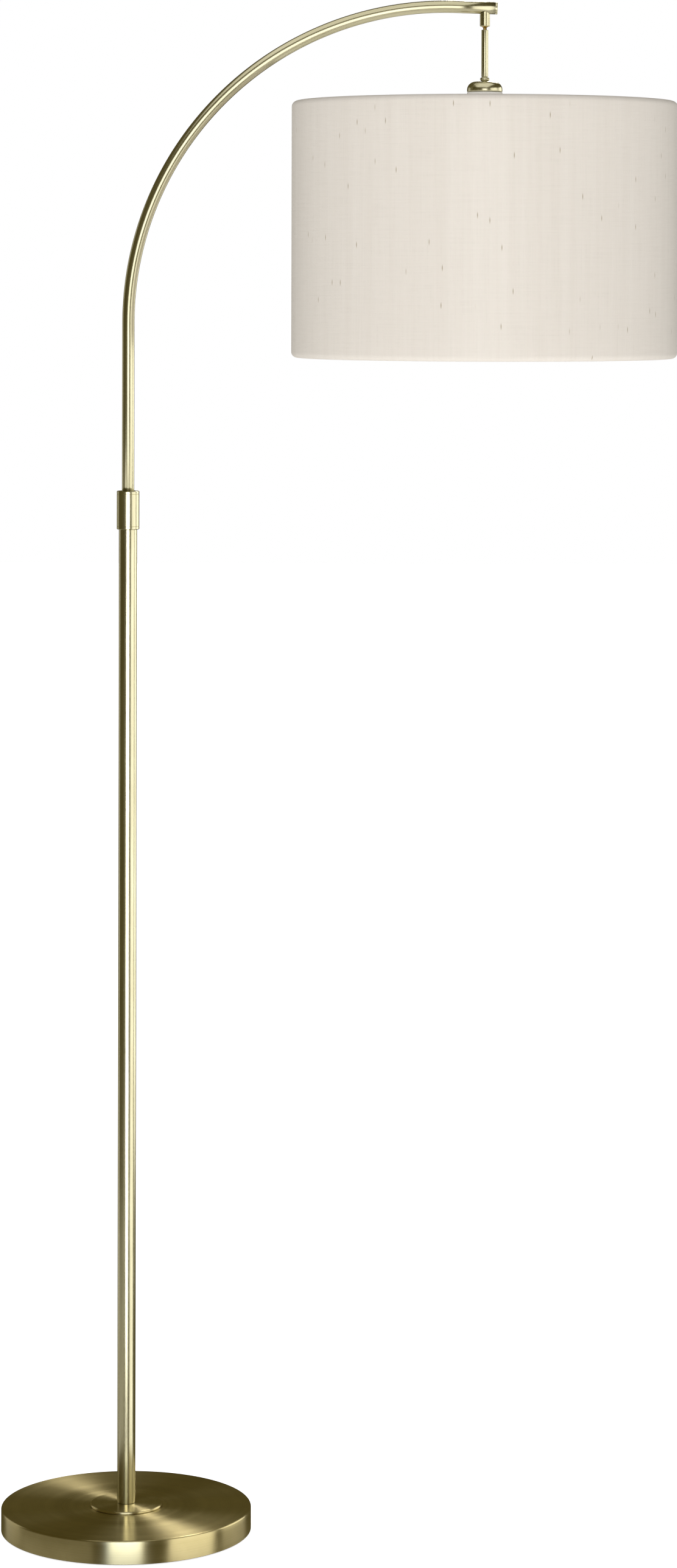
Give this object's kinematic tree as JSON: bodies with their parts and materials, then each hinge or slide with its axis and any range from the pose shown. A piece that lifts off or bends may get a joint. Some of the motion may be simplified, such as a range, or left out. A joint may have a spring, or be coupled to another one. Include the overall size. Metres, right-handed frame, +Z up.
{
  "type": "arc floor lamp",
  "caption": "Floor lamp with a round weighted base, a slim post, a telescoping arm bent in an arc and a hanging fabric drum shade.",
  "frame": {"origin": "centre of the floor pad's underside, on the axis of the post", "axes": "+Z up along the post; +X the way the arm reaches; +Y the side the cord leaves the base"},
  "size_m": [0.699, 0.4, 1.5923],
  "materials": {
    "brass_satin": "satin",
    "contact_brass": "satin",
    "cast_iron": "matte",
    "zinc_steel": "satin",
    "felt": "matte",
    "rubber": "matte",
    "nylon": "satin",
    "lampholder_white": "satin",
    "porcelain": "satin",
    "wire_white": "satin",
    "shade_lining": "matte",
    "linen": "matte",
    "bulb_opal": "satin",
    "bulb_white": "gloss",
    "led_board": "satin",
    "circuit_green": "satin",
    "bulb_cap_nickel": "satin",
    "insulator_black": "gloss"
  },
  "bodies": {
    "base": {"floor_pad": "felt", "base_weight": "cast_iron", "base_cover": "brass_satin", "cord_grommet": "rubber", "base_flange": "brass_satin", "base_nipple": "zinc_steel", "flat_washer": "zinc_steel", "lock_washer": "zinc_steel", "base_nut": "zinc_steel", "post_foot": "contact_brass", "post_tube": "brass_satin", "collet": "nylon"},
    "collar": {"collar": "brass_satin"},
    "arm_slider": {"arm_guide": "nylon"},
    "arm": {"arm_tube": "brass_satin", "arm_tail_plug": "nylon", "arm_end_cap": "brass_satin", "swivel_housing": "brass_satin", "swivel_seat": "nylon", "snap_ring": "zinc_steel"},
    "swivel": {"swivel_ball": "contact_brass"},
    "pendant": {"pendant_rod": "brass_satin", "rod_locknut": "brass_satin", "lampholder_cap": "brass_satin", "cap_nut": "zinc_steel", "lampholder_body": "lampholder_white", "socket_insulator": "porcelain", "socket_shell": "contact_brass", "centre_contact": "contact_brass", "terminal_screw_live": "zinc_steel", "terminal_screw_neutral": "zinc_steel", "shade_ring": "lampholder_white", "shade_frame": "wire_white", "shade_bottom_hoop": "wire_white", "shade_lining": "shade_lining", "shade_fabric": "linen", "bulb_dome": "bulb_opal", "bulb_housing": "bulb_white", "bulb_led_board": "led_board", "bulb_driver_board": "circuit_green", "bulb_cap": "bulb_cap_nickel", "bulb_insulator": "insulator_black", "bulb_contact": "bulb_cap_nickel"}
  },
  "joints": [
    {"name": "collar_twist", "type": "hinge", "parent": "base", "child": "collar", "pos_m": [0, 0, 1.043], "axis": [0, 0, 1], "range_deg": [0, 180]},
    {"name": "arm_height", "type": "slide", "parent": "base", "child": "arm_slider", "axis": [0, 0, 1], "range_m": [-0.15, 0.1]},
    {"name": "arm_swivel", "type": "hinge", "parent": "arm_slider", "child": "arm", "pos_m": [0, 0, 0.8003], "axis": [0, 0, 1], "range_deg": [-170, 170]},
    {"name": "pendant_tilt", "type": "hinge", "parent": "arm", "child": "swivel", "pos_m": [0.369, 0, 1.5676], "axis": [0, 1, 0], "range_deg": [-8, 8]},
    {"name": "pendant_turn", "type": "hinge", "parent": "swivel", "child": "pendant", "pos_m": [0.369, 0, 1.5622], "axis": [0, 0, 1], "range_deg": [-170, 170]}
  ]
}
